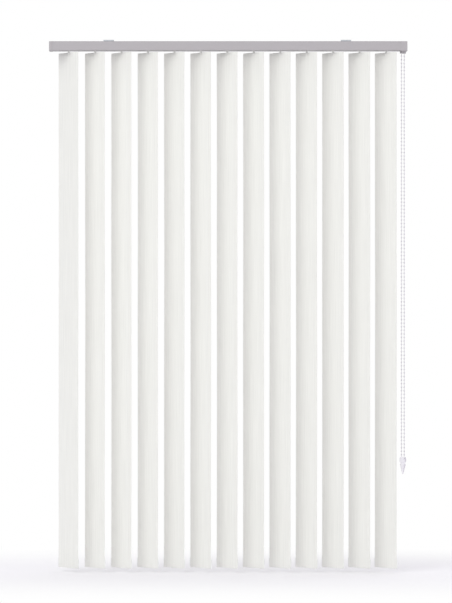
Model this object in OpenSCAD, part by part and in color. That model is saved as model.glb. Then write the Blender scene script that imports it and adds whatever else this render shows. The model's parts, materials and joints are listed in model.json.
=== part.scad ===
// Vertical blind: an aluminium head rail with sliding carriers that hang thirteen fabric slats,
// turned together by a rod and a bead chain. The origin is on the ceiling plane, half way between
// the two bracket screws. +X runs along the rail, -Y faces the room and +Z is up.

/* [Head rail] */
// Depth of the rail, front to back
rail_depth = 42; // [40:1:50]
// Height of the rail's box section
rail_height = 25; // [25:1:32]
// Wall of the extrusion
rail_wall = 1.3; // [1:0.1:1.6]
// Outer corner radius of the rail
rail_corner = 2; // [1.5:0.5:4]
// Width of the slot under the rail, between its lips
slot_width = 14; // [13:0.5:16]
// Height of the turned-up lips above the track
lip_rise = 3; // [2:0.5:3.2]
// Gap between the ceiling and the top of the rail
ceiling_gap = 7; // [5:0.5:9]
// From the first slat's axis to the left end of the extrusion
left_margin = 49; // [48:1:90]
// From the last slat's axis to the right end of the extrusion
right_margin = 43; // [43:1:90]

/* [Brackets] */
// Distance between the two ceiling brackets
bracket_spacing = 700; // [300:10:900]
// Length of a bracket along the rail
bracket_len = 30; // [24:1:50]
// Thickness of the pressed steel
bracket_t = 1; // [0.8:0.1:1.2]
// Radius of the screw hole
screw_r = 2.25; // [1.75:0.25:2.75]

/* [Slats] */
// Number of slats
slat_count = 13; // [13]
// Distance between slat axes when drawn out
slat_pitch = 78; // [72:1:82]
// Width of a slat
slat_width = 89; // [86:1:90]
// Length of a slat, top fold to bottom hem
slat_length = 1520; // [1400:10:2400]
// Angle of the slats to the rail as they stand, right edge towards the room
rest_tilt = 47; // [20:1:90]
// Thickness of the stiffened fabric
fabric_t = 0.6; // [0.4:0.1:0.7]
// Gap between the rail and the top of the slats
slat_gap = 5; // [5:0.5:8]
// Depth of the sewn pocket at the top
pocket_depth = 28; // [26:1:40]
// Depth of the sewn hem at the bottom
hem_depth = 33; // [30:1:45]
// Height of the strip where two plies are sewn together
seam_height = 3; // [2:0.5:5]
// Length over which a pocket closes to its seam
pocket_slope = 5; // [4:0.5:8]

/* [Slat hanger and weight] */
// Thickness of the hanger plate
hanger_t = 1.4; // [1:0.1:1.6]
// How far the hanger stays inside each slat edge
hanger_inset = 6; // [3:1:15]
// Height of the hanger plate
hanger_height = 20; // [18:1:21]
// Radius of the eye that the hook's peg goes through
eye_r = 1.25; // [1.2:0.05:1.4]
// Radius of the tab round the eye
tab_r = 2.3; // [2.1:0.1:2.5]
// Thickness of the bottom weight in the hem
weight_t = 1.2; // [0.8:0.1:1.4]
// How far the bottom weight stands out past each slat edge
weight_ear = 2.5; // [0.5:0.5:3]

/* [Hook stem] */
// Radius of the stem
stem_r = 3; // [2.8:0.1:3.2]
// Radius of the collar that holds the stem up in the carrier
collar_r = 4; // [3.8:0.1:4.3]
// Height of the collar
collar_height = 3.6; // [3:0.2:4]
// How far the fork reaches below the top of the slat
fork_reach = 8; // [5:0.5:12]
// Width of the fork's prongs, between their flat sides
fork_width = 4; // [3.4:0.2:5]
// Radius of the peg across the fork
peg_r = 1; // [0.8:0.05:1.05]

/* [Carriers] */
// Length of a carrier along the rail
carrier_len = 18; // [17:0.5:19]
// Radius of the carrier's wheels
wheel_r = 3.5; // [3:0.1:3.8]
// Width of a wheel's tread
wheel_width = 4.5; // [3:0.5:5]
// Thickness of a spacer strip
strip_t = 0.5; // [0.4:0.05:0.6]
// Width of a spacer strip
strip_width = 8.8; // [6:0.2:9]

/* [Tilt rod and chain] */
// Radius of the rod's core
rod_core_r = 2; // [1.8:0.1:2.2]
// Radius over the rod's three ribs
rod_rib_r = 2.9; // [2.7:0.1:3]
// Distance of the rod behind the stems
rod_offset = 6.5; // [6.3:0.1:7]
// Distance between chain beads
bead_pitch = 10.5; // [10:0.1:11]
// Radius of a chain bead
bead_r = 2.5; // [2:0.1:2.6]
// Radius of the cord that carries the beads
bead_cord_r = 0.8; // [0.6:0.1:0.9]
// Bead spaces in each straight strand
strand_beads = 114; // [60:1:180]
// Distance between the two strands
strand_gap = 9.5; // [9:0.1:10]
// Turn of the hanging loop from the plane of the rail
chain_yaw = 29; // [15:1:40]

/* [End caps and chain weight] */
// Length of the control housing past the rail
control_len = 19; // [18:0.5:26]
// Length of the idler cap past the rail
idler_len = 8; // [6:0.5:14]
// How far the caps stand proud of the rail
cap_proud = 1; // [0.5:0.25:2]
// Wall of the moulded caps
cap_wall = 2; // [1.6:0.1:2.4]
// Length of the tongues that plug into the rail
tongue_len = 20; // [12:1:24]
// How far the chain spout reaches below the rail
spout_drop = 7; // [7:0.5:12]
// Width of the chain weight's head
bob_width = 23; // [20:0.5:24]
// Height of the chain weight, top to tip
bob_height = 52; // [48:1:60]
// Thickness of the chain weight
bob_t = 9.2; // [8.6:0.2:11]

/* [Hidden] */
$fn = 48;

// Clearances
running = 0.08;     // round parts that turn in one another
slip = 0.3;         // parts that plug or roll without rubbing
sewn_slip = 0.15;   // plates inside a sewn pocket and the fork over it
free = 0.5;         // parts that pass one another
chain_slip = 0.4;   // beads in the chain weight
cut = 1;            // how far a cutting shape runs past the face it cuts

// Levels and lengths of the rail
rail_top = -ceiling_gap;
rail_bottom = rail_top - rail_height;
rail_ceiling = rail_top - rail_wall;
track = rail_bottom + rail_wall;
rail_inside = rail_depth / 2 - rail_wall;
first_x = -slat_pitch * (slat_count - 1) / 2;
last_x = -first_x;
rail_left = first_x - left_margin;
rail_right = last_x + right_margin;

// Flanges on top of the rail that the brackets clip under
flange_t = 1;
flange_rise = 2.4;
flange_mouth = 12.4;
flange_web = 15;
clip_gap = 0.4;

// The spacer strips lie in five levels so that a stack of carriers passes
levels = 5;
level_pitch = 1.15;
top_room = 0.9;
function level_z(i) = rail_ceiling - top_room - level_pitch * (i % levels);
shelf = rail_ceiling - top_room - level_pitch * levels;

// Carrier section
carrier_side = 2.7;
carrier_half = rail_inside - carrier_side;
carrier_room = 1;
carrier_top = rail_ceiling - carrier_room;
carrier_step = 0.5;
carrier_chamfer = 1.5;
waist_gap = 1.2;
waist_half = slot_width / 2 + rail_wall + waist_gap;
wheel_centre = track + slip + wheel_r;
wheel_spread = 4.6;
wheel_gap = 0.7;
wheel_in = waist_half + wheel_gap;
axle_r = 1.5;
belly = wheel_centre + wheel_r + free;
waist_bottom = track + lip_rise + free;
neck_r = 5.2;
neck_bottom = rail_bottom + free;
lug_half = 1.3;
lug_t = 0.8;
lug_reach = 3.9;
strip_edge = -4;
tab_reach = 1.8;
tab_len = 4;
root_half = 2.5;
post_depth = 2.4;
post_gap = 0.8;

// Rod
rod_drop = 8.7;
rod_z = rail_ceiling - rod_drop;
rib_width = 1.3;
rod_hole_r = rod_rib_r + free;
journal = 5;

// Stem and fork
cavity_rise = 0.9;
cavity_top = belly + cavity_rise;
cavity_bottom = cavity_top - collar_height - 2 * slip;
slat_top = rail_bottom - slat_gap;
slat_bottom = slat_top - slat_length;
peg_rise = 1.7;
peg_z = slat_top + peg_rise;
fork_top = peg_z + tab_r + slip;
fork_bottom = slat_top - fork_reach;
fork_taper = 0.8;

// Folded slat section: the front ply runs straight from top to bottom
pocket_half = hanger_t / 2 + sewn_slip;
ply_front = -pocket_half - fabric_t;
ply_back = -pocket_half;
seam_back = ply_back + fabric_t;
pocket_back = pocket_half + fabric_t;
hem_back = ply_back + weight_t + fabric_t;
pocket_bottom = slat_top - pocket_depth;
hem_top = slat_bottom + hem_depth;
fork_half = pocket_back + sewn_slip;
hanger_top = slat_top - fabric_t;
hanger_corner = 4;
hanger_slot_r = 3;
hanger_slot_x = 22;
hanger_slot_half = 5.5;
weight_corner = 3;

// Chain wheel, guide and loop
chain_inset = 7.2;
chain_x = rail_right + chain_inset;
pitch_r = bead_pitch / sqrt(2);
sheave_rim = 0.9;
sheave_r = pitch_r + sheave_rim;
sheave_half = 4;
groove_r = pitch_r - (pitch_r * cos(45) - bead_cord_r - chain_slip);
guide_x = strand_gap / 2 * cos(chain_yaw);
guide_y = strand_gap / 2 * sin(chain_yaw);
guide_drop = sqrt(pow(2 * bead_pitch, 2) - pow(guide_x, 2) - pow(pitch_r - guide_y, 2));
guide_z = rod_z - guide_drop;
loop_z = guide_z - strand_beads * bead_pitch;
turn_drop = sqrt(pow(bead_pitch, 2) - pow(strand_gap / 2, 2));

// End caps
cap_top = rail_top + flange_rise;
cap_half = rail_depth / 2 + cap_proud;
cap_bottom = rail_bottom - cap_proud;
cap_corner = 2.5;
tongue_t = 1.6;
tongue_clear = 3;
tongue_top = rail_ceiling - tongue_clear;
tongue_bottom = track + tongue_clear;
boss_r = 5;
bulkhead_t = 3;
bulkhead_corner = 1;
spout_room = 1;
spout_r = bead_r + spout_room;
spout_wall = 1.2;
spout_seat = 0.6;
floor_room = 0.8;
floor_yaw = 45;

// Chain weight
bob_cover = 5;
bob_top = loop_z + bob_cover;
bob_r = bob_t / 2;
bob_head = 18.6;
bob_groove = 1.4;
bob_shoulder = 0.5;
bob_tip_r = 1.6;
bob_tunnel_r = bead_r + chain_slip;
bob_waist = 1.4;
bob_step = 0.4;
bob_ridge = 0.9;
bob_rim = 1.6;
bob_floor = 0.9;
window_inset = 2.6;
window_corner = 2;
window_foot = 7.5;
pin_top = 2.4;
pin_r = 1.5;
tip_pin_r = 0.9;
pin_drop = 6.5;
tip_pin_drop = 17;

// Names: every slat has a hanger, a hook stem and a carrier of the same number
function tag(i) = i < 10 ? str("0", i) : str(i);
function slat_x(i) = first_x + slat_pitch * (i - 1);
REPEATED = ["slat_", "hanger_", "hook_stem_", "carrier_"];

// A section drawn in Y and Z, pushed along X
module along_x(from, to) {
    translate([from, 0, 0]) rotate([90, 0, 90]) linear_extrude(height = to - from) children();
}

// An outline drawn in X and Z, given a thickness between two Y planes
module along_y(from, to) {
    translate([0, to, 0]) rotate([90, 0, 0]) linear_extrude(height = to - from) children();
}

// A round bar along X
module bar_x(from, to, r) {
    translate([from, 0, 0]) rotate([0, 90, 0]) cylinder(h = to - from, r = r);
}

// A rectangle with round corners, as exact arcs
module round_rect(low, high, r) {
    translate([low[0] + r, low[1]]) square([high[0] - low[0] - 2 * r, high[1] - low[1]]);
    translate([low[0], low[1] + r]) square([high[0] - low[0], high[1] - low[1] - 2 * r]);
    for (u = [low[0] + r, high[0] - r]) for (v = [low[1] + r, high[1] - r])
        translate([u, v]) circle(r = r);
}

// A slot with round ends between two points on the first axis
module oblong(half, r) {
    translate([-half, -r]) square([2 * half, 2 * r]);
    for (u = [-half, half]) translate([u, 0]) circle(r = r);
}

// A round bar from one point to another
module link(a, b, r) {
    d = b - a;
    translate(a) rotate([0, acos(d[2] / norm(d)), atan2(d[1], d[0])]) cylinder(h = norm(d), r = r);
}

// What hangs on one stem stands at the slats' angle
module on_stem(i) {
    translate([slat_x(i), 0, 0]) rotate([0, 0, -rest_tilt]) children();
}

module head_rail() {
    color("silver") along_x(rail_left, rail_right) {
        difference() {
            round_rect([-rail_depth / 2, rail_bottom], [rail_depth / 2, rail_top], rail_corner);
            translate([-rail_inside, track]) square([2 * rail_inside, rail_ceiling - track]);
            translate([-slot_width / 2, rail_bottom - cut]) square([slot_width, rail_wall + 2 * cut]);
        }
        for (side = [0, 1]) mirror([side, 0]) {
            translate([slot_width / 2, rail_bottom]) square([rail_wall, rail_wall + lip_rise]);
            translate([flange_web, rail_top - rail_wall]) square([flange_t, flange_rise + rail_wall]);
            translate([flange_mouth, rail_top + flange_rise - flange_t])
                square([flange_web + flange_t - flange_mouth, flange_t]);
        }
    }
}

// Two identical spring clips: a plate on the ceiling and two legs whose feet hold the rail's flanges
module mounting_brackets() {
    leg_out = flange_mouth - clip_gap;
    foot_top = rail_top + flange_rise - flange_t;
    color("gainsboro") for (x = [-bracket_spacing / 2, bracket_spacing / 2]) translate([x, 0, 0])
        difference() {
            along_x(-bracket_len / 2, bracket_len / 2) {
                translate([-leg_out, -bracket_t]) square([2 * leg_out, bracket_t]);
                for (side = [0, 1]) mirror([side, 0]) {
                    translate([leg_out - bracket_t, foot_top - bracket_t])
                        square([bracket_t, bracket_t - foot_top]);
                    translate([leg_out - bracket_t, foot_top - bracket_t])
                        square([flange_web - clip_gap - leg_out + bracket_t, bracket_t]);
                }
            }
            translate([0, 0, -bracket_t - cut]) cylinder(h = bracket_t + 2 * cut, r = screw_r);
        }
}

// Outer shape of an end cap, a little larger than the rail
module cap_section() {
    round_rect([-cap_half, cap_bottom], [cap_half, cap_top], cap_corner);
}

module cap_hollow() {
    round_rect([-cap_half + cap_wall, cap_bottom + cap_wall], [cap_half - cap_wall, cap_top - cap_wall],
               cap_corner / 2);
}

// Tongues that slide along the rail's inner walls
module tongue_section() {
    for (side = [0, 1]) mirror([side, 0])
        translate([rail_inside - slip - tongue_t, tongue_bottom])
            square([tongue_t, tongue_top - tongue_bottom]);
}

// Bulkhead that closes the rail's end and carries the rod
module bulkhead_section() {
    round_rect([-rail_inside + slip, track + lip_rise + slip], [rail_inside - slip, rail_ceiling - slip],
               bulkhead_corner);
}

module idler_end_cap() {
    outer = rail_left - idler_len;
    color("gainsboro") difference() {
        union() {
            difference() {
                along_x(outer, rail_left) cap_section();
                along_x(outer + cap_wall, rail_left + cut) cap_hollow();
            }
            along_x(rail_left - cap_wall, rail_left + bulkhead_t) bulkhead_section();
            along_x(rail_left, rail_left + tongue_len) tongue_section();
            translate([0, rod_offset, rod_z]) bar_x(outer, rail_left + bulkhead_t, boss_r);
        }
        translate([0, rod_offset, rod_z])
            bar_x(rail_left - journal, rail_left + bulkhead_t + cut, rod_rib_r + running);
    }
}

// Oval way for the two strands of the chain, turned as they are on their way from the wheel to the loop
module chain_way(r, yaw, from, to) {
    translate([chain_x, rod_offset, from]) rotate([0, 0, yaw]) linear_extrude(height = to - from)
        oblong(strand_gap / 2, r);
}

module control_housing() {
    outer = rail_right + control_len;
    far_boss = chain_x + sheave_half + slip;
    color("gainsboro") difference() {
        union() {
            difference() {
                along_x(rail_right, outer) cap_section();
                along_x(rail_right + cap_wall, outer - cap_wall) cap_hollow();
                chain_way(bead_r + floor_room, floor_yaw, cap_bottom - cut, cap_bottom + cap_wall + cut);
            }
            difference() {
                chain_way(spout_r + spout_wall, chain_yaw, rail_bottom - spout_drop, cap_bottom + spout_seat);
                chain_way(spout_r, chain_yaw, rail_bottom - spout_drop - cut, cap_bottom + spout_seat + cut);
            }
            along_x(rail_right - bulkhead_t, rail_right) bulkhead_section();
            along_x(rail_right - tongue_len, rail_right) tongue_section();
            translate([0, rod_offset, rod_z]) bar_x(far_boss, outer, boss_r);
        }
        translate([0, rod_offset, rod_z]) {
            bar_x(rail_right - bulkhead_t - cut, rail_right + cap_wall + cut, rod_rib_r + running);
            bar_x(far_boss - cut, far_boss + journal - slip, rod_rib_r + running);
        }
    }
}

// Ribbed rod that runs through every carrier, from the idler cap to the far wall of the control housing
module tilt_rod() {
    left = rail_left - journal + slip;
    right = chain_x + sheave_half + journal - slip;
    rib_reach = sqrt(pow(rod_rib_r, 2) - pow(rib_width / 2, 2));
    color("silver") translate([0, rod_offset, rod_z]) along_x(left, right) {
        circle(r = rod_core_r);
        for (turn = [0, 120, 240]) rotate(turn)
            translate([0, -rib_width / 2]) square([rib_reach, rib_width]);
    }
}

// Grooved wheel on the rod that the beads run over
module chain_wheel() {
    color("whitesmoke") translate([chain_x, rod_offset, rod_z]) rotate([0, 90, 0]) rotate_extrude()
        difference() {
            translate([rod_rib_r + running, -sheave_half])
                square([sheave_r - rod_rib_r - running, 2 * sheave_half]);
            translate([pitch_r, 0]) circle(r = groove_r);
        }
}

// Bead places: over the wheel, two spaces in to the spout, then straight down to the turn
function on_wheel(side) = [chain_x, rod_offset + side * pitch_r, rod_z];
function at_guide(side) = [chain_x + side * guide_x, rod_offset + side * guide_y, guide_z];
function at_loop(side) = [chain_x + side * guide_x, rod_offset + side * guide_y, loop_z];
over_wheel = [chain_x, rod_offset, rod_z + pitch_r];
under_loop = [chain_x, rod_offset, loop_z - turn_drop];

// A bead, with its poles level so that no cord meets them
module bead(place) {
    translate(place) rotate([90, 0, chain_yaw]) sphere(r = bead_r, $fn = 24);
}

// One straight strand, turned as a single profile of beads on a cord, between its two end beads
module strand(side) {
    run = strand_beads * bead_pitch;
    translate(at_guide(side)) rotate_extrude($fn = 24) intersection() {
        union() {
            translate([0, -run]) square([bead_cord_r, run]);
            for (k = [1:strand_beads - 1]) translate([0, -k * bead_pitch]) circle(r = bead_r, $fn = 24);
        }
        translate([0, -run - bead_r]) square([2 * bead_r, run + 2 * bead_r]);
    }
}

module control_chain() {
    color("gainsboro") {
        for (side = [-1, 1]) {
            half_way = (on_wheel(side) + at_guide(side)) / 2;
            strand(side);
            for (place = [on_wheel(side), half_way, at_guide(side), at_loop(side)]) bead(place);
            link(on_wheel(side), over_wheel, bead_cord_r, $fn = 24);
            link(on_wheel(side), half_way, bead_cord_r, $fn = 24);
            link(half_way, at_guide(side), bead_cord_r, $fn = 24);
            link(at_loop(side), under_loop, bead_cord_r, $fn = 24);
        }
        bead(over_wheel);
        bead(under_loop);
    }
}

// Lower window of the chain weight: its ends, and the inside of its rim, which follows the taper to the tip
window_top = -bob_head - bob_groove - window_inset;
window_end = window_foot - bob_height;
function window_side(z) =
    let (shoulder = bob_width / 2 - bob_waist - bob_step, from = -bob_head - bob_groove - bob_r + bob_step)
        z > from ? shoulder - bob_rim
        : bob_tip_r - bob_rim + (shoulder - bob_tip_r) * (z - bob_tip_r + bob_height)
            / (from - bob_tip_r + bob_height);

// Pin in the lower window, half way across it
module bob_pin(z, r) {
    translate([(bob_ridge + window_side(z)) / 2, 0, z]) rotate([90, 0, 0]) translate([0, 0, -bob_floor - slip])
        cylinder(h = pin_top + bob_floor + slip, r = r);
}

// Moulded teardrop that the loop runs through: an oval head, a groove and a tapering body, open on its right side
module chain_weight() {
    head_x = bob_width / 2 - bob_r;
    body_x = head_x - bob_waist;
    body_top = -bob_head - bob_groove;
    body_r = bob_r - bob_step;
    color("gainsboro") translate([chain_x, rod_offset, bob_top]) rotate([0, 0, chain_yaw]) difference() {
        union() {
            hull() for (x = [-head_x, head_x]) for (z = [-bob_r, bob_r - bob_head])
                translate([x, 0, z]) sphere(r = bob_r, $fn = 28);
            translate([0, 0, body_top - bob_r]) linear_extrude(height = bob_r * 2)
                oblong(body_x - bob_shoulder, body_r - bob_shoulder);
            hull() {
                for (x = [-body_x, body_x]) translate([x, 0, body_top - body_r])
                    sphere(r = body_r, $fn = 28);
                translate([0, 0, bob_tip_r - bob_height]) sphere(r = bob_tip_r, $fn = 28);
            }
        }
        for (side = [-1, 1]) {
            strand_foot = [side * strand_gap / 2, 0, -bob_cover];
            translate(strand_foot) cylinder(h = bob_cover + cut, r = bob_tunnel_r);
            translate(strand_foot) sphere(r = bob_tunnel_r);
            link(strand_foot, [0, 0, -bob_cover - turn_drop], bob_tunnel_r);
        }
        translate([0, 0, -bob_cover - turn_drop]) sphere(r = bob_tunnel_r);
        along_y(-bob_r - cut, bob_floor) {
            round_rect([bob_ridge, window_inset - bob_head], [bob_width / 2 - bob_rim, -window_inset],
                       window_corner);
            polygon([
                [bob_ridge, window_top], [window_side(window_top), window_top],
                [window_side(window_end), window_end], [bob_ridge, window_end]]);
        }
    }
    color("gainsboro") translate([chain_x, rod_offset, bob_top]) rotate([0, 0, chain_yaw]) {
        bob_pin(window_top - pin_drop, pin_r);
        bob_pin(window_top - tip_pin_drop, tip_pin_r);
    }
}

// Folded and sewn section of a slat: a pocket for the hanger above, a weighted hem below
module slat_section() {
    difference() {
        polygon([
            [ply_front, slat_bottom], [ply_front, slat_top], [pocket_back, slat_top],
            [pocket_back, pocket_bottom + pocket_slope], [seam_back, pocket_bottom],
            [seam_back, pocket_bottom - seam_height], [ply_back, pocket_bottom - seam_height],
            [ply_back, hem_top + seam_height], [seam_back, hem_top + seam_height],
            [seam_back, hem_top], [hem_back, hem_top - pocket_slope], [hem_back, slat_bottom]]);
        polygon([
            [ply_back, slat_top - fabric_t], [pocket_half, slat_top - fabric_t],
            [pocket_half, pocket_bottom + pocket_slope], [ply_back, pocket_bottom]]);
    }
}

module slat(i) {
    half = slat_width / 2;
    weight_half = half + weight_ear;
    slit_half = tab_r + slip;
    color("white") on_stem(i) {
        difference() {
            along_x(-half, half) slat_section();
            translate([-slit_half, -pocket_half, slat_top - fabric_t - slip])
                cube([2 * slit_half, 2 * pocket_half, fabric_t + slip + cut]);
        }
        along_y(ply_back, ply_back + weight_t)
            round_rect([-weight_half, slat_bottom + fabric_t], [weight_half, hem_top - pocket_slope],
                       weight_corner);
    }
}

// Flat plate in the slat's top pocket, with an eyed tab that stands up through the fold
module hanger(i) {
    half = slat_width / 2 - hanger_inset;
    low = hanger_top - hanger_height;
    color("white") on_stem(i) along_y(-hanger_t / 2, hanger_t / 2) difference() {
        union() {
            round_rect([-half, low], [half, hanger_top], hanger_corner);
            translate([-half, hanger_top - hanger_corner]) square([2 * half, hanger_corner]);
            translate([-tab_r, hanger_top - hanger_corner])
                square([2 * tab_r, peg_z - hanger_top + hanger_corner]);
            translate([0, peg_z]) circle(r = tab_r);
        }
        translate([0, peg_z]) circle(r = eye_r);
        for (side = [-1, 1]) translate([side * hanger_slot_x, hanger_top - hanger_height / 2])
            oblong(hanger_slot_half, hanger_slot_r);
    }
}

// Turned stem: a collar held in the carrier, and a fork below the rail with a peg through the hanger's eye
module hook_stem(i) {
    collar_bottom = cavity_top - slip - collar_height;
    color("whitesmoke") on_stem(i) {
        difference() {
            rotate_extrude() polygon([
                [0, cavity_top - slip], [collar_r, cavity_top - slip],
                [collar_r, collar_bottom], [stem_r, collar_bottom], [stem_r, fork_bottom + fork_taper],
                [stem_r - fork_taper / 2, fork_bottom], [0, fork_bottom]]);
            translate([-stem_r - cut, -fork_half, fork_bottom - cut])
                cube([2 * (stem_r + cut), 2 * fork_half, fork_top - fork_bottom + cut]);
            for (side = [0, 1]) mirror([side, 0, 0])
                translate([fork_width / 2, -stem_r - cut, fork_bottom - cut])
                    cube([stem_r, 2 * (stem_r + cut), rail_bottom - free - fork_bottom + cut]);
        }
        translate([0, fork_half + fabric_t, peg_z]) rotate([90, 0, 0])
            cylinder(h = 2 * fork_half + fabric_t - sewn_slip, r = peg_r);
    }
}

// Closed body round the worm gear, in the section of the rail
module carrier_section() {
    polygon([
        [-carrier_half, shelf], [carrier_step, shelf], [carrier_step, carrier_top],
        [carrier_half - carrier_chamfer, carrier_top], [carrier_half, carrier_top - carrier_chamfer],
        [carrier_half, belly], [waist_half, belly], [waist_half, waist_bottom], [-waist_half, waist_bottom],
        [-waist_half, belly], [-carrier_half, belly]]);
}

// Strip that reaches over the next carrier and ends in the tab that stops it one pitch away
module spacer_strip(i) {
    z = level_z(i) - strip_t;
    root = strip_edge - strip_width;
    end = slat_pitch + lug_half + slip;
    translate([-root_half, root, z]) cube([end + tab_len + root_half, strip_width, strip_t]);
    post = root - post_gap - post_depth;
    translate([-root_half, post, z]) cube([2 * root_half, strip_edge - post, strip_t]);
    translate([-root_half, post, shelf - free])
        cube([2 * root_half, post_depth, z + strip_t - shelf + free]);
    translate([end, root, z]) cube([tab_len, strip_width + tab_reach, strip_t]);
}

// Lug at the level of the strip from the carrier before, which its tab pulls on
module stop_lug(i) {
    z = level_z(i - 1) - strip_t / 2 - lug_t / 2;
    translate([-lug_half, carrier_step - lug_reach, z]) cube([2 * lug_half, lug_reach + cut, lug_t]);
}

module carrier(i) {
    half = carrier_len / 2;
    color("white") translate([slat_x(i), 0, 0]) difference() {
        union() {
            along_x(-half, half) carrier_section();
            translate([0, 0, neck_bottom]) cylinder(h = waist_bottom - neck_bottom + cut, r = neck_r);
            for (side = [0, 1]) mirror([0, side, 0]) for (x = [-wheel_spread, wheel_spread])
                translate([x, 0, wheel_centre]) rotate([-90, 0, 0]) {
                    translate([0, 0, waist_half - cut]) cylinder(h = wheel_gap + 2 * cut, r = axle_r);
                    translate([0, 0, wheel_in]) cylinder(h = wheel_width, r = wheel_r);
                }
            if (i < slat_count) spacer_strip(i);
            if (i > 1) stop_lug(i);
        }
        translate([0, rod_offset, rod_z]) bar_x(-half - cut, half + cut, rod_hole_r);
        translate([0, 0, neck_bottom - cut])
            cylinder(h = cavity_bottom - neck_bottom + 2 * cut, r = stem_r + running);
        translate([0, 0, cavity_bottom]) cylinder(h = cavity_top - cavity_bottom, r = collar_r + slip);
    }
}

head_rail();
mounting_brackets();
idler_end_cap();
control_housing();
tilt_rod();
chain_wheel();
control_chain();
chain_weight();
for (i = [1:slat_count]) {
    slat(i);
    hanger(i);
    hook_stem(i);
    carrier(i);
}
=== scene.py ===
"""Looks of a vertical blind: woven slats, a coated rail, moulded fittings and a bead chain."""

import json
import math

import bpy
import numpy as np
from mathutils import Matrix, Vector


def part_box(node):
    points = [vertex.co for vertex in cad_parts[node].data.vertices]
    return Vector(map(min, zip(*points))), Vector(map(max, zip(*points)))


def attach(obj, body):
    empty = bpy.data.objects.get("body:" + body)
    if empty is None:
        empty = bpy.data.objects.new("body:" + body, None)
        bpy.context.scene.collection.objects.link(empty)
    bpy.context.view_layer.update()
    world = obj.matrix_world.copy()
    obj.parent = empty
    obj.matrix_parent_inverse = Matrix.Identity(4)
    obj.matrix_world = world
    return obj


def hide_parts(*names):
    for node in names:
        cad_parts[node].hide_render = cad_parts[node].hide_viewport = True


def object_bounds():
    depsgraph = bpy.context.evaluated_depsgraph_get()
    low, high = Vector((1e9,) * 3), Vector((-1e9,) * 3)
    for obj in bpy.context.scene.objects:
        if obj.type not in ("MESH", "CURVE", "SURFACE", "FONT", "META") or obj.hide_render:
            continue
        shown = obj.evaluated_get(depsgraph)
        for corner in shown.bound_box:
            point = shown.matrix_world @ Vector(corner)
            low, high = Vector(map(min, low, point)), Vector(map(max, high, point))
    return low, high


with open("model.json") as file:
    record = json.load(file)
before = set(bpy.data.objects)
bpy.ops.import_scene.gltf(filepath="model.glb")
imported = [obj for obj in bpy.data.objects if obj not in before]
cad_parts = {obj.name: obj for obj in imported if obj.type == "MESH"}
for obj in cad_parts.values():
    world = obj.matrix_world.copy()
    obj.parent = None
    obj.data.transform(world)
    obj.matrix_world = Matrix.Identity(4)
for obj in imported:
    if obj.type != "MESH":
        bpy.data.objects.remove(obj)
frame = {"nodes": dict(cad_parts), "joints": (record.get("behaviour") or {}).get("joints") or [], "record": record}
cad_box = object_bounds()

MM = 0.001

# Slats, in millimetres: width, tilt and the plies of the folded and sewn cloth, in the slat's own section
SLAT_COUNT = 13
SLAT_WIDTH = 89
SLAT_TILT = math.radians(47)
FABRIC = 0.6
FRONT_PLY = -1.15
SEAM_PLY = FRONT_PLY + FABRIC
POCKET_PLY = 1.15
HEM_PLY = 0.65
POCKET_DEPTH = 28
HEM_DEPTH = 33
SEAM_HEIGHT = 3
POCKET_SLOPE = 5
SLIT_HALF = 2.6
SLIT_DEPTH = 1.0
EDGE_CLOSE = (5.6, 1.0)  # how far in from its side edges a pocket starts to close, and is closed
WEIGHT_PLATE = 1.2
WEIGHT_EAR = 2.5
WEIGHT_CORNER = 3
WEIGHT_EASE = 0.35
SLAT_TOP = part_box("slat_01")[1].z / MM
SLAT_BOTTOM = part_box("slat_01")[0].z / MM
ROLL_STEP = 1900  # how far along the roll the next slat is cut, so that no two have the same streaks

# Mesh of the slats: rows of the flat ply, steps round folds and corners, and columns from the side edge in
FLAT_ROWS = 72
HEM_FOLD_STEPS = 6
TOP_FOLD_STEPS = 8
CORNER_STEPS = 6
EDGE_COLUMNS = (0, 1.2, 2.4, 3.8, EDGE_CLOSE[0])
INNER_COLUMNS = 7

# Hang of the free cloth: the curl of its edges, a long wave and a lean, in millimetres, and how far the wave
# and the lean turn from one slat to the next, in radians
HANG_CURL = 0.55
HANG_WAVE = 0.35
HANG_LEAN = 0.3
WAVES_DOWN = 1.5
WAVE_TURN = 1.7
LEAN_TURN = 2.3
LEAN_START = 0.6
SEAM_HOLD = 0.7  # how quickly the cloth comes free of its seams, where 0 is at once

# Stitches, in millimetres: one lockstitch run across each seam, on both faces
STITCH_PITCH = 3.2
STITCH_LENGTH = 2.5
STITCH_THREAD = 0.45
STITCH_MARGIN = 2
STITCH_SIDES = 6
STITCH_FORM = [  # shares of the thread's radius and of the stitch's length
    (0, -0.5),
    (0.62, -0.42),
    (1, -0.2),
    (1, 0.2),
    (0.62, 0.42),
    (0, 0.5),
]

# Bead chain, in millimetres: its beads and its route, whose corners are whole numbers of bead spaces apart
BEAD_PITCH = 10.5
BEAD_R = 2.5
BEAD_CORD_R = 0.8
BEAD_LIP = 0.3
BEAD_COLLAR = (0.35, 0.25)  # how far the collar stands over the cord, at the bead and at its lip
BEAD_STEPS = 10
BEAD_SIDES = 14
CORD_SIDES = 8
CHAIN_YAW = math.radians(29)
CHAIN_ROUTE = [
    (518.2, 6.5, -9.575),
    (518.2, -0.925, -17),
    (514.046, 4.197, -36.944),
    (514.046, 4.197, -1233.944),
    (518.2, 6.5, -1243.308),
    (522.354, 8.803, -1233.944),
    (522.354, 8.803, -36.944),
    (518.2, 13.925, -17),
    (518.2, 6.5, -9.575),
]
CHAIN_FOOT = CHAIN_ROUTE[4]

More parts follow.
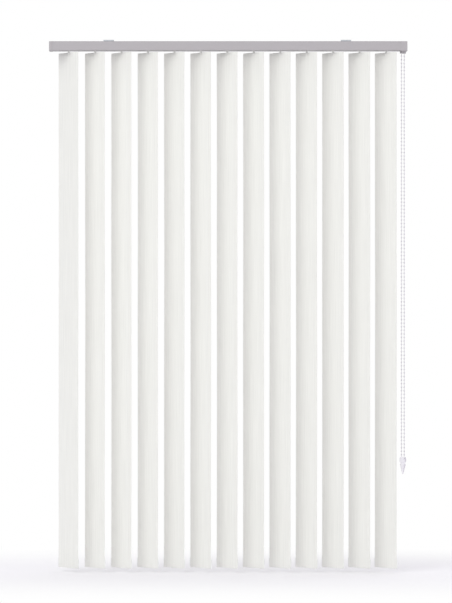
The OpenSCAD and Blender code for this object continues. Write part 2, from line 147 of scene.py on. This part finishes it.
# Chain weight, in millimetres: a teardrop given as depth below its top, half width and half thickness
BOB_HEIGHT = 52
BOB_OUTLINE = [
    (0, 0, 0),
    (0.25, 4.8, 1.4),
    (0.8, 7.2, 2.7),
    (1.8, 9, 3.7),
    (3.2, 10.3, 4.3),
    (5.2, 11.15, 4.6),
    (9.3, 11.5, 4.6),
    (13.4, 11.15, 4.6),
    (15.6, 10.2, 4.3),
    (17.2, 8.9, 3.8),
    (18.6, 7.2, 2.9),
    (19.3, 6.4, 2.5),
    (20, 7.3, 2.9),
    (20.9, 8.8, 3.6),
    (22.2, 9.5, 4),
    (24.2, 9.6, 4.2),
    (50.2, 1.8, 1.9),
    (51.3, 1.3, 1.4),
    (51.8, 0.8, 0.8),
    (52, 0, 0),
]
BOB_ROWS = 161
BOB_COLUMNS = (34, 22, 12)  # up to the ridge, over the openings' floor and along the right rim
BOB_FINE = 3  # outline samples to a row
BOB_SOFTEN = 7  # outline samples that a corner is eased over
BOB_CROWN = 0.35  # the fullness of its section, where 0 is square
BOB_FRONT_THIN = 0.2  # the share of its front's depth that is lost towards the sides
BOB_RIDGE = 0.9
BOB_RIM = 1.6
BOB_WALL = 0.45
BOB_NARROW = (0.1, 0.6, 0.2)  # the same three where the weight is narrow, as shares of its width there
BOB_FLOOR = 0.9
BOB_WINDOWS = [(2.6, 16), (22.6, 44.5)]  # the top and bottom of each opening
BOB_PINS = [(3.74, 29.1, 1.5), (2.12, 39.6, 0.9)]  # place across, depth below the top, and radius
BOB_PIN_TOP = -2.4
BOB_PIN_SIDES = 24
BOB_PIN_BEVEL = 0.25

# Camera: level, at the height and distance that the slats' edges give
PICTURE = (452, 603)
EYE = Vector((-0.004, -9.0, -0.771))
MM_A_PIXEL = 2.95
SENSOR = 36

# Light: a faintly lilac surround that is weaker on the left, and one soft lamp from the upper left
SURROUND = 1.09
SURROUND_LEFT = 0.3
SURROUND_TURN = (-0.95, -0.35)  # the X of the directions at which the surround is weakest, and is whole
SURROUND_TINT = "#FDFCFF"
KEY_POWER = 322
KEY_TINT = "#FBFFF6"
KEY_PLACE = Vector((-6.55, -7.33, 6.88))
KEY_SIZE = 8.0

# Floor, in metres: its gap under the slats, how far it reaches, its speckle, and where it fades to white
FLOOR_GAP = 0.012
FLOOR_REACH = 6.0
FLOOR_SPECKLE = 0.025
FLOOR_FADE = (0.1, 0.9)

NOISE_SPAN = (0.3, 0.7)  # the part of a noise's range that two tones are spread over


def linear(colour):
    """An sRGB hex colour as linear red, green, blue and alpha."""
    parts = [int(colour[k : k + 2], 16) / 255 for k in (1, 3, 5)]
    return [c / 12.92 if c <= 0.04045 else ((c + 0.055) / 1.055) ** 2.4 for c in parts] + [1.0]


def add(tree, kind, sockets=None, **settings):
    """Adds one shader node with its settings, and with a value or a link for each socket named."""
    made = tree.nodes.new("ShaderNode" + kind)
    for name, value in settings.items():
        setattr(made, name, value)
    for socket, value in (sockets or {}).items():
        if isinstance(value, bpy.types.NodeSocket):
            tree.links.new(value, made.inputs[socket])
        else:
            made.inputs[socket].default_value = value
    return made


def new_finish(name, **sockets):
    """A new material with one principled shader, and its node tree and shader."""
    made = bpy.data.materials.new(name)
    made.use_nodes = True
    tree = made.node_tree
    shader = tree.nodes["Principled BSDF"]
    for socket, value in sockets.items():
        shader.inputs[socket.replace("_", " ")].default_value = value
    return made, tree, shader


def woven_polyester():
    """Stiffened plain-weave polyester: matt and soft, with faint upright slubs and firm heat-cut edges."""
    made, tree, shader = new_finish(
        "woven_polyester", Sheen_Weight=0.12, Sheen_Roughness=0.6, Specular_IOR_Level=0.25
    )
    thread = 0.9 * MM  # a thread is about 0.4 mm, drawn at 0.9 mm so that it shows in a close view
    relief = 0.12 * MM
    slub_width, slub_length = 2.2 * MM, 160 * MM
    slub_rise = 0.6
    edge = (SLAT_WIDTH / 2 - 1.1) * MM  # the heat cut melts the outermost threads together
    edge_blend = 0.4 * MM
    place = add(tree, "UVMap", uv_map="cloth")
    split = add(tree, "SeparateXYZ", {0: place.outputs[0]})
    waves = []
    for axis in ("X", "Y"):
        phase = add(tree, "Math", {0: split.outputs[axis], 1: math.pi / thread}, operation="MULTIPLY")
        waves.append(add(tree, "Math", {0: phase.outputs[0]}, operation="SINE"))
    weave = add(tree, "Math", {0: waves[0].outputs[0], 1: waves[1].outputs[0]}, operation="MULTIPLY")
    scale = (1 / slub_width, 1 / slub_length, 1)
    stretched = add(tree, "Mapping", {"Vector": place.outputs[0], "Scale": scale}, vector_type="POINT")
    slubs = add(tree, "TexNoise", {"Vector": stretched.outputs[0], "Scale": 1, "Detail": 2})
    side = add(tree, "Math", {0: split.outputs["X"]}, operation="ABSOLUTE")
    sealed = add(
        tree, "MapRange", {"Value": side.outputs[0], "From Min": edge, "From Max": edge + edge_blend}
    )
    open_weave = add(tree, "Math", {0: 1.0, 1: sealed.outputs[0]}, operation="SUBTRACT")
    low, high = NOISE_SPAN
    tone = add(tree, "MapRange", {"Value": slubs.outputs["Fac"], "From Min": low, "From Max": high})
    yarn = add(
        tree, "MixRGB", {"Fac": tone.outputs[0], "Color1": linear("#EBEBE7"), "Color2": linear("#F3F3EF")}
    )
    tree.links.new(yarn.outputs[0], shader.inputs["Base Color"])
    rough = add(tree, "MapRange", {"Value": sealed.outputs[0], "To Min": 0.86, "To Max": 0.6})
    tree.links.new(rough.outputs[0], shader.inputs["Roughness"])
    height = add(tree, "Math", {0: weave.outputs[0], 1: open_weave.outputs[0]}, operation="MULTIPLY")
    raised = add(
        tree, "Math", {0: slubs.outputs["Fac"], 1: slub_rise, 2: height.outputs[0]}, operation="MULTIPLY_ADD"
    )
    bump = add(tree, "Bump", {"Strength": 0.25, "Distance": relief, "Height": raised.outputs[0]})
    tree.links.new(bump.outputs[0], shader.inputs["Normal"])
    return made


def grained(name, colours, roughness, grain, depth, stretch=(1, 1, 1), **sockets):
    """A surface whose tone, gloss and relief follow one noise, with its grain and depth in metres."""
    made, tree, shader = new_finish(name, **sockets)
    place = add(tree, "TexCoord")
    scale = [1 / (grain * s) for s in stretch]
    scaled = add(tree, "Mapping", {"Vector": place.outputs["Object"], "Scale": scale})
    noise = add(tree, "TexNoise", {"Vector": scaled.outputs[0], "Scale": 1, "Detail": 3})
    low, high = NOISE_SPAN
    ramp = add(tree, "MapRange", {"Value": noise.outputs["Fac"], "From Min": low, "From Max": high})
    first, second = linear(colours[0]), linear(colours[1])
    tone = add(tree, "MixRGB", {"Fac": ramp.outputs[0], "Color1": first, "Color2": second})
    tree.links.new(tone.outputs[0], shader.inputs["Base Color"])
    smooth, dull = roughness
    gloss = add(tree, "MapRange", {"Value": ramp.outputs[0], "To Min": smooth, "To Max": dull})
    tree.links.new(gloss.outputs[0], shader.inputs["Roughness"])
    bump = add(tree, "Bump", {"Strength": 0.3, "Distance": depth, "Height": noise.outputs["Fac"]})
    tree.links.new(bump.outputs[0], shader.inputs["Normal"])
    return made


def coated_aluminium():
    """Extruded aluminium with a satin powder coat and a fine orange-peel skin. Its even grey is darker than the
    coat's own pale colour: painted shade of a recess over the rail that is not in the scene.
    """
    # The two greys below hold painted shade: they are darker than the coat's own colour, as the rail looks in a
    # shaded recess.
    return grained(
        "powder_coated_aluminium_painted_shade", ("#ACA8AB", "#B2AEB1"), (0.38, 0.48), 1.6 * MM, 0.03 * MM, IOR=1.5
    )


def zinc_plated_steel():
    """Pressed steel strip with bright zinc plating: a cool metal with soft cloudy patches."""
    return grained(
        "zinc_plated_steel", ("#B4B8BE", "#C6C9CE"), (0.28, 0.42), 5 * MM, 0.02 * MM, Metallic=1.0
    )


def moulded_abs_painted_shade():
    """Moulded ABS with a spark-eroded tool grain: matt, with a fine even pebble. Its grey matches the rail's and
    holds the same painted shade, darker than the caps' own colour.
    """
    # The two greys hold painted shade of a recess that is not in the scene, darker than the caps' own colour.
    return grained("moulded_abs_painted_shade", ("#ABA7AA", "#B2AEB1"), (0.46, 0.58), 0.7 * MM, 0.04 * MM, IOR=1.53)


def mill_finish_aluminium():
    """Extruded aluminium as it leaves the die: soft metal with fine lines along its length."""
    return grained(
        "mill_finish_aluminium",
        ("#BDBEC0", "#D2D3D5"),
        (0.3, 0.45),
        0.5 * MM,
        0.02 * MM,
        stretch=(400, 1, 1),
        Metallic=1.0,
    )


def moulded_acetal():
    """Moulded acetal: a waxy, milky white with a soft shine and faint flow marks."""
    colours = ("#E9E9E6", "#F0F0ED")
    return grained("moulded_acetal", colours, (0.3, 0.42), 3 * MM, 0.02 * MM, stretch=(1, 1, 3), IOR=1.48)


def moulded_polypropylene():
    """Moulded polypropylene: a soft white that is smooth but not glossy."""
    colours = ("#E6E7E6", "#EFF0EF")
    return grained("moulded_polypropylene", colours, (0.42, 0.52), 4 * MM, 0.02 * MM, IOR=1.49)


def bead_acetal():
    """Acetal beads moulded on a cord: small, pale and glossy, so that each one holds a highlight."""
    return grained("bead_acetal", ("#D6D4D9", "#E0DEE3"), (0.18, 0.28), 6 * MM, 0.01 * MM, IOR=1.48)


def braided_cord():
    """Braided polyester cord between the beads: duller than they are, with a fine uneven braid."""
    colours = ("#CFCDD1", "#DCDADE")
    return grained("braided_polyester_cord", colours, (0.7, 0.85), 0.4 * MM, 0.05 * MM, stretch=(1, 1, 2))


def polished_abs():
    """Moulded ABS from a polished tool: bright white with a clear shine."""
    return grained("polished_abs", ("#EAE8ED", "#F0EEF3"), (0.2, 0.3), 8 * MM, 0.01 * MM, IOR=1.53)


def sewing_thread():
    """Twisted polyester thread: a soft white that is a little brighter than the cloth."""
    return grained("polyester_thread", ("#EDEDEA", "#F6F6F3"), (0.6, 0.75), 0.5 * MM, 0.04 * MM)


def piece(name, points, faces, body, material, place=None):
    """A new mesh piece, from points in metres, that rides on a body."""
    mesh = bpy.data.meshes.new(name)
    mesh.from_pydata([tuple(p) for p in points], [], [tuple(f) for f in faces])
    mesh.validate()
    mesh.polygons.foreach_set("use_smooth", [True] * len(mesh.polygons))
    mesh.materials.append(material)
    made = bpy.data.objects.new(name, mesh)
    bpy.context.scene.collection.objects.link(made)
    if place is not None:
        made.matrix_world = place
    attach(made, body)
    return made


def sharpen(made, degrees):
    """Keeps the edges that turn more than this crisp."""
    made.data.set_sharp_from_angle(angle=math.radians(degrees))


def copies(points, faces, places):
    """One small form repeated at each place, a 4 x 4 matrix, as one set of points and faces."""
    points = np.c_[np.array(points, float), np.ones(len(points))]
    faces = np.array(faces, int)
    all_points = [(points @ np.array(place, float).T)[:, :3] for place in places]
    all_faces = [faces + k * len(points) for k in range(len(places))]
    return np.vstack(all_points), np.vstack(all_faces)


def turned(profile, sides):
    """A form turned about Z from (radius, height) points, first and last on the axis, as triangles."""
    inner = profile[1:-1]
    points = [(0, 0, profile[0][1])]
    for radius, height in inner:
        for k in range(sides):
            angle = 2 * math.pi * k / sides
            points.append((radius * math.cos(angle), radius * math.sin(angle), height))
    points.append((0, 0, profile[-1][1]))
    faces = []
    last = len(points) - 1
    for k in range(sides):
        after = (k + 1) % sides
        faces.append((0, 1 + after, 1 + k))
        for ring in range(len(inner) - 1):
            low, high = 1 + ring * sides, 1 + (ring + 1) * sides
            faces.append((low + k, low + after, high + after))
            faces.append((low + k, high + after, high + k))
        top = 1 + (len(inner) - 1) * sides
        faces.append((top + k, top + after, last))
    return points, faces


def along(start, end):
    """A matrix that stands a form's Z axis at a start point, along the way to an end point."""
    start, end = Vector(start), Vector(end)
    return Matrix.Translation(start) @ (end - start).to_track_quat("Z", "Y").to_matrix().to_4x4()


def arc(centre, radius, first, last, steps):
    """Points on an arc in a slat's section, between two angles in degrees."""
    angles = [math.radians(first + (last - first) * k / steps) for k in range(steps + 1)]
    return [(centre[0] + radius * math.cos(a), centre[1] + radius * math.sin(a)) for a in angles]


def folded_section():
    """The middle line of the cloth in its section, in millimetres, from the hem's cut end to the pocket's."""
    hem_seam = SLAT_BOTTOM + HEM_DEPTH
    pocket_seam = SLAT_TOP - POCKET_DEPTH
    hem_fold = (HEM_PLY - FRONT_PLY) / 2
    top_fold = (POCKET_PLY - FRONT_PLY) / 2
    hem_centre = (FRONT_PLY + hem_fold, SLAT_BOTTOM + FABRIC / 2 + hem_fold)
    top_centre = (FRONT_PLY + top_fold, SLAT_TOP - FABRIC / 2 - top_fold)
    flat_height = top_centre[1] - hem_centre[1]
    half_slope = ((SEAM_PLY + HEM_PLY) / 2, hem_seam - POCKET_SLOPE / 2)
    line = [(SEAM_PLY, hem_seam + SEAM_HEIGHT), (SEAM_PLY, hem_seam)]
    line += [half_slope, (HEM_PLY, hem_seam - POCKET_SLOPE)]
    line += arc(hem_centre, hem_fold, 0, -180, HEM_FOLD_STEPS)
    line += [(FRONT_PLY, hem_centre[1] + flat_height * k / FLAT_ROWS) for k in range(1, FLAT_ROWS)]
    line += arc(top_centre, top_fold, 180, 0, TOP_FOLD_STEPS)
    line += [
        (POCKET_PLY, pocket_seam + POCKET_SLOPE),
        (SEAM_PLY, pocket_seam),
        (SEAM_PLY, pocket_seam - SEAM_HEIGHT),
    ]
    return line


def closed_edge(x, y):
    """Depth of a back ply near the slat's side edges, where the pocket's two plies come together."""
    start, end = EDGE_CLOSE
    share = (abs(x) - SLAT_WIDTH / 2 + start) / (start - end)
    share = min(max(share, 0.0), 1.0)
    share = share * share * (3 - 2 * share)
    deep = y - FRONT_PLY
    closed = min(deep, FABRIC)
    return FRONT_PLY + deep + (closed - deep) * share


def hang(number, across, down):
    """How far the free cloth of one slat stands from its plane, at a share of its width and height."""
    if not 0 < down < 1:
        return 0.0
    free = math.sin(math.pi * down) ** SEAM_HOLD
    curl = HANG_CURL * across**2
    wave = HANG_WAVE * math.sin(2 * math.pi * down * WAVES_DOWN + WAVE_TURN * number)
    lean = HANG_LEAN * across * math.sin(LEAN_TURN * number + LEAN_START)
    return free * (curl + wave + lean)


def slat_cloth(number, place, material):
    """The cloth of one slat, with its pocket, its hem and the slit that the hanger's tab comes through."""
    line = folded_section()
    half = SLAT_WIDTH / 2
    columns = [-half + inset for inset in EDGE_COLUMNS]
    columns += list(np.linspace(columns[-1], -SLIT_HALF, INNER_COLUMNS)[1:])
    columns += [-c for c in reversed(columns)]
    plate_top = SLAT_BOTTOM + HEM_DEPTH - POCKET_SLOPE
    free_bottom = SLAT_BOTTOM + HEM_DEPTH + SEAM_HEIGHT
    free_top = SLAT_TOP - POCKET_DEPTH - SEAM_HEIGHT
    points, spots = [], []
    run = 0.0
    for j, (y, z) in enumerate(line):
        if j:
            run += math.dist(line[j], line[j - 1])
        down = (z - free_bottom) / (free_top - free_bottom) if y == FRONT_PLY else 0.0
        for x in columns:
            deep = closed_edge(x, y) if z > free_top or plate_top < z < free_bottom else y
            points.append((x * MM, (deep + hang(number, x / half, down)) * MM, z * MM))
            spots.append((x * MM, (run + number * ROLL_STEP) * MM))
    wide = len(columns)
    faces = []
    for j in range(len(line) - 1):
        fold = min(line[j][1], line[j + 1][1]) > SLAT_TOP - SLIT_DEPTH
        for k in range(wide - 1):
            if fold and columns[k] == -SLIT_HALF:
                continue
            first = j * wide + k
            faces.append((first, first + 1, first + 1 + wide, first + wide))
    name = f"slat_cloth_{number:02d}"
    cloth = piece(name, points, faces, f"louvre_{number:02d}", material, place)
    layer = cloth.data.uv_layers.new(name="cloth")
    corners = np.empty(len(cloth.data.loops), int)
    cloth.data.loops.foreach_get("vertex_index", corners)
    layer.data.foreach_set("uv", np.array(spots)[corners].ravel())
    thick = cloth.modifiers.new("cloth thickness", "SOLIDIFY")
    thick.thickness = FABRIC * MM
    thick.offset = 0
    solid = bpy.data.meshes.new_from_object(cloth.evaluated_get(bpy.context.evaluated_depsgraph_get()))
    cloth.modifiers.clear()
    cloth.data = solid
    sharpen(cloth, degrees=40)
    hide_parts(f"slat_{number:02d}")
    return cloth, run


def slat_seams(number, place, material):
    """The stitches of a slat's two seams, as short raised threads on both faces of the cloth."""
    thread = STITCH_THREAD / 2
    stitch = turned([(r * thread * MM, h * STITCH_LENGTH * MM) for r, h in STITCH_FORM], STITCH_SIDES)
    reach = SLAT_WIDTH / 2 - STITCH_MARGIN - STITCH_LENGTH / 2
    count = int(2 * reach // STITCH_PITCH)
    front = FRONT_PLY - FABRIC / 2
    back = SEAM_PLY + FABRIC / 2
    rows = [SLAT_TOP - POCKET_DEPTH - SEAM_HEIGHT / 2, SLAT_BOTTOM + HEM_DEPTH + SEAM_HEIGHT / 2]
    places = []
    for z in rows:
        for face, shift in ((front, 0), (back, STITCH_PITCH / 2)):
            for k in range(count):
                x = (k - (count - 1) / 2) * STITCH_PITCH + shift - STITCH_PITCH / 4
                places.append(
                    Matrix.Translation(Vector((x, face, z)) * MM) @ Matrix.Rotation(math.pi / 2, 4, "Y")
                )
    points, faces = copies(*stitch, places)
    return piece(
        f"slat_stitches_{number:02d}", points, faces, f"louvre_{number:02d}", material, place
    )


def slat_weight(number, place, material):
    """The plate in a slat's hem, with round corners and eased edges. Its ears stand out past the cloth."""
    half = SLAT_WIDTH / 2 + WEIGHT_EAR
    low = SLAT_BOTTOM + FABRIC
    high = SLAT_BOTTOM + HEM_DEPTH - POCKET_SLOPE
    thick = WEIGHT_PLATE / 2
    middle = FRONT_PLY + FABRIC / 2 + thick
    outline = []
    for cx, cz, first in (
        (half - WEIGHT_CORNER, high - WEIGHT_CORNER, 0),
        (-half + WEIGHT_CORNER, high - WEIGHT_CORNER, 90),
        (-half + WEIGHT_CORNER, low + WEIGHT_CORNER, 180),
        (half - WEIGHT_CORNER, low + WEIGHT_CORNER, 270),
    ):
        outline += [(cx, cz, math.radians(first + 90 * k / CORNER_STEPS)) for k in range(CORNER_STEPS + 1)]
    edge = thick - WEIGHT_EASE
    rings = ((WEIGHT_EASE, thick), (0, edge), (0, -edge), (WEIGHT_EASE, -thick))
    points, faces = [], []
    for inset, y in rings:
        radius = WEIGHT_CORNER - inset
        points += [
            ((cx + radius * math.cos(a)) * MM, (middle + y) * MM, (cz + radius * math.sin(a)) * MM)
            for cx, cz, a in outline
        ]
    count = len(outline)
    for ring in range(len(rings) - 1):
        behind, before = ring * count, (ring + 1) * count
        for k in range(count):
            after = (k + 1) % count
            faces.append((behind + k, behind + after, before + after, before + k))
    faces.append(list(range(count))[::-1])
    faces.append(list(range(len(points) - count, len(points))))
    made = piece(
        f"slat_weight_{number:02d}", points, faces, f"louvre_{number:02d}", material, place
    )
    sharpen(made, degrees=30)
    return made


def bead_places():
    """The middle of each bead, in metres, from over the wheel round the whole loop and back."""
    places = [Vector(CHAIN_ROUTE[0])]
    for start, end in zip(CHAIN_ROUTE, CHAIN_ROUTE[1:]):
        start, end = Vector(start), Vector(end)
        spaces = round((end - start).length / BEAD_PITCH)
        places += [start.lerp(end, k / spaces) for k in range(1, spaces + 1)]
    return [p * MM for p in places]


def bead_chain(bead_material, cord_material):
    """The looped chain: beads with small collars, strung on a cord."""
    places = bead_places()
    end = BEAD_R + BEAD_LIP
    root_radius, lip_radius = (BEAD_CORD_R + over for over in BEAD_COLLAR)
    start = math.asin(root_radius / BEAD_R)
    profile = [(0, -end), (lip_radius, -end)]
    for k in range(BEAD_STEPS + 1):
        angle = start + (math.pi - 2 * start) * k / BEAD_STEPS
        profile.append((BEAD_R * math.sin(angle), -BEAD_R * math.cos(angle)))
    profile += [(lip_radius, end), (0, end)]
    bead = turned([(r * MM, h * MM) for r, h in profile], BEAD_SIDES)
    low, high = BEAD_R / 2 * MM, (BEAD_PITCH - BEAD_R / 2) * MM  # the cord's ends lie inside the beads
    cord = BEAD_CORD_R * MM
    link = turned([(0, low), (cord, low), (cord, high), (0, high)], CORD_SIDES)
    ways = [along(a, b) for a, b in zip(places, places[1:])]
    bead_points, bead_faces = copies(*bead, ways)
    link_points, link_faces = copies(*link, ways)
    points = np.vstack([bead_points, link_points])
    faces = np.vstack([bead_faces, link_faces + len(bead_points)])
    chain = piece("bead_chain", points, faces, "head", bead_material)
    chain.data.materials.append(cord_material)
    kinds = [0] * len(bead_faces) + [1] * len(link_faces)
    chain.data.polygons.foreach_set("material_index", kinds)
    sharpen(chain, degrees=50)
    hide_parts("control_chain")
    return chain, places


def bob_rows():
    """The levels of the chain weight's mesh, with its half width and half thickness at each."""
    outline = np.array(BOB_OUTLINE)
    levels = [z for top, bottom in BOB_WINDOWS for z in (top, top + BOB_WALL, bottom - BOB_WALL, bottom)]
    even = np.linspace(0, BOB_HEIGHT, BOB_ROWS)[1:-1]
    clear = [z for z in even if min(abs(z - level) for level in levels) > BOB_WALL / 2]
    rows = np.array(sorted(clear + levels))
    fine = np.linspace(0, BOB_HEIGHT, BOB_FINE * BOB_ROWS)
    halves = []
    for values in (outline[:, 1], outline[:, 2]):
        curve = np.interp(fine, outline[:, 0], values)
        ends = BOB_SOFTEN // 2
        curve[ends:-ends] = np.convolve(curve, np.ones(BOB_SOFTEN) / BOB_SOFTEN, "valid")
        halves.append(np.interp(rows, fine, curve))
    return rows, *halves


def bob_columns(half):
    """One level's places across the weight: to the ridge, over an opening's floor and along the rim."""
    ridge_share, rim_share, wall_share = BOB_NARROW
    ridge = min(BOB_RIDGE, ridge_share * half)
    rim = max(half - BOB_RIM, ridge + rim_share * (half - ridge))
    wall = min(BOB_WALL, wall_share * (rim - ridge))
    left_side, floor, right_side = BOB_COLUMNS
    left = -half + (half + ridge) * (1 - np.cos(np.linspace(0, math.pi / 2, left_side)))
    right = rim + (half - rim) * np.sin(np.linspace(0, math.pi / 2, right_side))
    return np.concatenate([left, np.linspace(ridge + wall, rim - wall, floor), right])


def bob_shell():
    """The chain weight's points, in millimetres below its top, and its faces."""
    rows, wide, deep = bob_rows()
    x = np.array([bob_columns(half) for half in wide])
    share = np.abs(x / wide[:, None])
    crown = np.maximum(1 - share**2, 0) ** BOB_CROWN
    front = -deep[:, None] * crown * (1 - BOB_FRONT_THIN * share)
    back = deep[:, None] * crown
    first, floor = BOB_COLUMNS[:2]
    for top, bottom in BOB_WINDOWS:
        open_rows = (rows > top + BOB_WALL / 2) & (rows < bottom - BOB_WALL / 2)
        front[open_rows, first : first + floor] = BOB_FLOOR
    points = [(0, 0, 0)]
    columns = x.shape[1]
    for k, row in enumerate(rows):
        points += [(x[k, j], front[k, j], -row) for j in range(columns)]
        points += [(x[k, j], back[k, j], -row) for j in range(columns - 2, 0, -1)]
    points.append((0, 0, -BOB_HEIGHT))
    sides = 2 * (columns - 1)
    last = 1 + (len(rows) - 1) * sides
    faces = []
    for k in range(sides):
        after = (k + 1) % sides
        faces.append((0, 1 + k, 1 + after))
        for high in range(1, last, sides):
            low = high + sides
            faces.append((high + k, low + k, low + after, high + after))
        faces.append((last + k, len(points) - 1, last + after))
    return points, faces


def chain_bob(material):
    """The moulded chain weight: a head, a groove and a taper, with a ridge and two openings with pins."""
    points, faces = bob_shell()
    foot, tip = BOB_FLOOR + BOB_WALL, BOB_PIN_TOP
    height = foot - tip
    for x, depth, radius in BOB_PINS:
        bevel = radius * BOB_PIN_BEVEL
        profile = [(0, 0), (radius, 0), (radius, height - bevel), (radius - bevel, height), (0, height)]
        pin_points, pin_faces = turned(profile, BOB_PIN_SIDES)
        stand = along((x, foot, -depth), (x, tip, -depth))
        faces += [tuple(k + len(points) for k in face) for face in pin_faces]
        points += [stand @ Vector(p) for p in pin_points]
    points = [Vector(p) * MM for p in points]
    top = Vector((CHAIN_FOOT[0], CHAIN_FOOT[1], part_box("chain_weight")[1].z / MM))
    place = Matrix.Translation(top * MM) @ Matrix.Rotation(CHAIN_YAW, 4, "Z")
    bob = piece("chain_bob", points, faces, "head", material, place)
    sharpen(bob, degrees=50)
    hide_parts("chain_weight")
    return bob


def lamp(name, place, size, power, tint, aim):
    """A square soft lamp that faces a point."""
    data = bpy.data.lights.new(name, "AREA")
    data.shape = "SQUARE"
    data.size = size
    data.energy = power
    data.color = linear(tint)[:3]
    made = bpy.data.objects.new(name, data)
    made.location = place
    made.rotation_euler = (Vector(aim) - Vector(place)).to_track_quat("-Z", "Y").to_euler()
    bpy.context.scene.collection.objects.link(made)
    return made


def seen_or_mirrored(tree):
    """1 for a ray that is seen, straight, in a shine or through glass, and 0 for one that only lights."""
    path = add(tree, "LightPath")
    seen = path.outputs["Is Camera Ray"]
    for kind in ("Is Glossy Ray", "Is Transmission Ray"):
        seen = add(tree, "Math", {0: seen, 1: path.outputs[kind]}, operation="MAXIMUM").outputs[0]
    return seen


def studio():
    """Camera, one soft lamp, a surround that is seen as white, and a plain pale floor."""
    scene = bpy.context.scene
    scene.view_settings.view_transform = "Standard"
    data = bpy.data.cameras.new("camera")
    data.sensor_width = SENSOR
    data.lens = SENSOR * abs(EYE.y) / (MM_A_PIXEL * MM * max(PICTURE))
    data.clip_end = 100
    camera = bpy.data.objects.new("camera", data)
    camera.location = EYE
    camera.rotation_euler = (math.pi / 2, 0, 0)
    scene.collection.objects.link(camera)
    scene.camera = camera

    world = bpy.data.worlds.new("surround")
    world.use_nodes = True
    scene.world = world
    tree = world.node_tree
    tree.nodes.clear()
    seen = seen_or_mirrored(tree)
    way = add(tree, "TexCoord")
    split = add(tree, "SeparateXYZ", {0: way.outputs["Generated"]})
    level = add(
        tree,
        "MapRange",
        {
            "Value": split.outputs["X"],
            "From Min": SURROUND_TURN[0],
            "From Max": SURROUND_TURN[1],
            "To Min": SURROUND * SURROUND_LEFT,
            "To Max": SURROUND,
        },
        interpolation_type="SMOOTHSTEP",
    )
    soft = add(tree, "Background", {"Color": linear(SURROUND_TINT), "Strength": level.outputs[0]})
    white = add(tree, "Background", {"Color": linear("#FFFFFF"), "Strength": 1.0})
    mixed = add(tree, "MixShader", {0: seen, 1: soft.outputs[0], 2: white.outputs[0]})
    add(tree, "OutputWorld", {"Surface": mixed.outputs[0]})

    middle = (cad_box[0] + cad_box[1]) / 2
    lamp("key", middle + KEY_PLACE, KEY_SIZE, KEY_POWER, KEY_TINT, middle)
    plain_floor()


def plain_floor():
    """A pale floor that keeps the blind's shadow near it and fades to white further off."""
    scene = bpy.context.scene
    floor_material, tree, shader = new_finish("floor_paint", Roughness=0.8)
    place = add(tree, "TexCoord")
    speckle = add(tree, "TexNoise", {"Vector": place.outputs["Object"], "Scale": 1 / FLOOR_SPECKLE})
    paint = {"Fac": speckle.outputs["Fac"], "Color1": linear("#ECEBEE"), "Color2": linear("#EEEDF0")}
    tone = add(tree, "MixRGB", paint)
    tree.links.new(tone.outputs[0], shader.inputs["Base Color"])
    split = add(tree, "SeparateXYZ", {0: place.outputs["Object"]})
    beside = add(tree, "Math", {0: split.outputs["X"]}, operation="ABSOLUTE")
    beside = add(tree, "Math", {0: beside.outputs[0], 1: cad_box[1].x}, operation="SUBTRACT")
    beside = add(tree, "Math", {0: beside.outputs[0], 1: 0.0}, operation="MAXIMUM")
    flat = add(tree, "CombineXYZ", {"X": beside.outputs[0], "Y": split.outputs["Y"]})
    away = add(tree, "VectorMath", {0: flat.outputs[0]}, operation="LENGTH")
    fade = add(
        tree,
        "MapRange",
        {"Value": away.outputs["Value"], "From Min": FLOOR_FADE[0], "From Max": FLOOR_FADE[1]},
        interpolation_type="SMOOTHSTEP",
    )
    share = add(tree, "Math", {0: fade.outputs[0], 1: seen_or_mirrored(tree)}, operation="MULTIPLY")
    white = add(tree, "Emission", {"Color": linear("#FFFFFF"), "Strength": 1.0})
    mixed = add(tree, "MixShader", {0: share.outputs[0], 1: shader.outputs[0], 2: white.outputs[0]})
    tree.links.new(mixed.outputs[0], tree.nodes["Material Output"].inputs["Surface"])
    mesh = bpy.data.meshes.new("floor")
    low = cad_box[0].z - FLOOR_GAP
    corners = ((-1, -1), (1, -1), (1, 1), (-1, 1))
    mesh.from_pydata([(x * FLOOR_REACH, y * FLOOR_REACH, low) for x, y in corners], [], [(0, 1, 2, 3)])
    mesh.materials.append(floor_material)
    floor = bpy.data.objects.new("floor", mesh)
    scene.collection.objects.link(floor)


def dress():
    """Gives every CAD node its finish, and makes the cloth, the stitches, the weights and the chain."""
    finishes = {
        "rail_aluminium": coated_aluminium(),
        "bracket_steel": zinc_plated_steel(),
        "cap_plastic": moulded_abs_painted_shade(),
        "rod_aluminium": mill_finish_aluminium(),
        "moving_plastic": moulded_acetal(),
        "chain_plastic": bead_acetal(),
        "weight_plastic": polished_abs(),
        "slat_fabric": woven_polyester(),
        "hanger_plastic": moulded_polypropylene(),
    }
    for part in frame["record"]["subparts"]:
        mesh = frame["nodes"][part["node"]].data
        mesh.materials.clear()
        mesh.materials.append(finishes[part["material_slot"]])

    thread = sewing_thread()
    bob = chain_bob(finishes["weight_plastic"])
    chain, places = bead_chain(finishes["chain_plastic"], braided_cord())
    stems = {j["name"]: j["pos_m"][0] for j in frame["joints"] if j["name"].startswith("tilt_")}
    for number in range(1, SLAT_COUNT + 1):
        across = stems[f"tilt_{number:02d}"]
        place = Matrix.Translation((across, 0, 0)) @ Matrix.Rotation(-SLAT_TILT, 4, "Z")
        cloth, length = slat_cloth(number, place, finishes["slat_fabric"])
        seams = slat_seams(number, place, thread)
        weight = slat_weight(number, place, finishes["hanger_plastic"])


studio()
dress()
bpy.context.view_layer.update()
